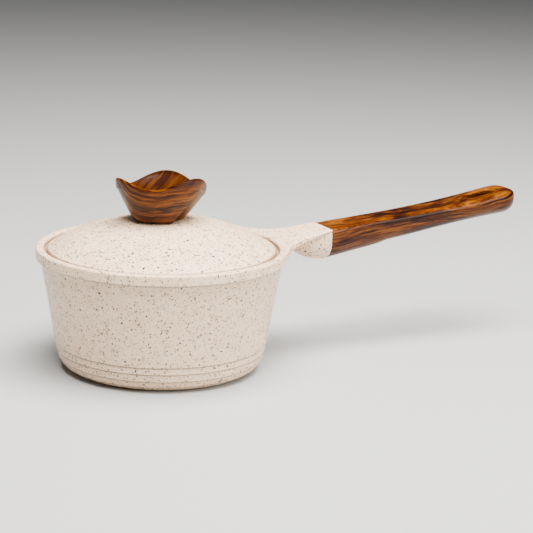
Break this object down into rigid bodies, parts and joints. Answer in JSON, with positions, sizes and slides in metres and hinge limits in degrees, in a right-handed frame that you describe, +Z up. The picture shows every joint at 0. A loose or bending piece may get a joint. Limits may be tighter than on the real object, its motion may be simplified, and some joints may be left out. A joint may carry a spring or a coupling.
{
  "type": "saucepan with lid",
  "caption": "Small cast saucepan with speckled coating, domed cast lid resting in a rim seat, petal-shaped lid knob and long wood-effect grip with a hang slot.",
  "frame": {"origin": "centre of the base underside, on the axis of the pan", "axes": "+Z up along the axis of the pan, +X along the handle from the pan to the grip's end"},
  "size_m": [0.4184, 0.194, 0.1527],
  "materials": {
    "coating": "cast aluminium under a cream speckled ceramic-look coating, satin",
    "base_plate": "turned stainless steel",
    "wood_effect": "moulded phenolic resin with a glossy wood-grain film",
    "fastener_steel": "plain stainless steel",
    "insert_brass": "plain brass",
    "seal": "matt grey silicone"
  },
  "bodies": {
    "pan": {"pan_body": "coating", "induction_plate": "base_plate", "handle_grip": "wood_effect", "handle_screw": "fastener_steel", "handle_spring_washer": "fastener_steel", "handle_flat_washer": "fastener_steel", "bracket_thread_insert": "fastener_steel"},
    "lid": {"lid_body": "coating", "lid_knob": "wood_effect", "knob_thread_insert": "insert_brass", "knob_seal_washer": "seal", "knob_flat_washer": "fastener_steel", "knob_spring_washer": "fastener_steel", "knob_screw": "fastener_steel"}
  },
  "joints": [
    {"name": "lid_lift", "type": "slide", "parent": "pan", "child": "lid", "axis": [0, 0, 1], "range_m": [0, 0.15]}
  ]
}
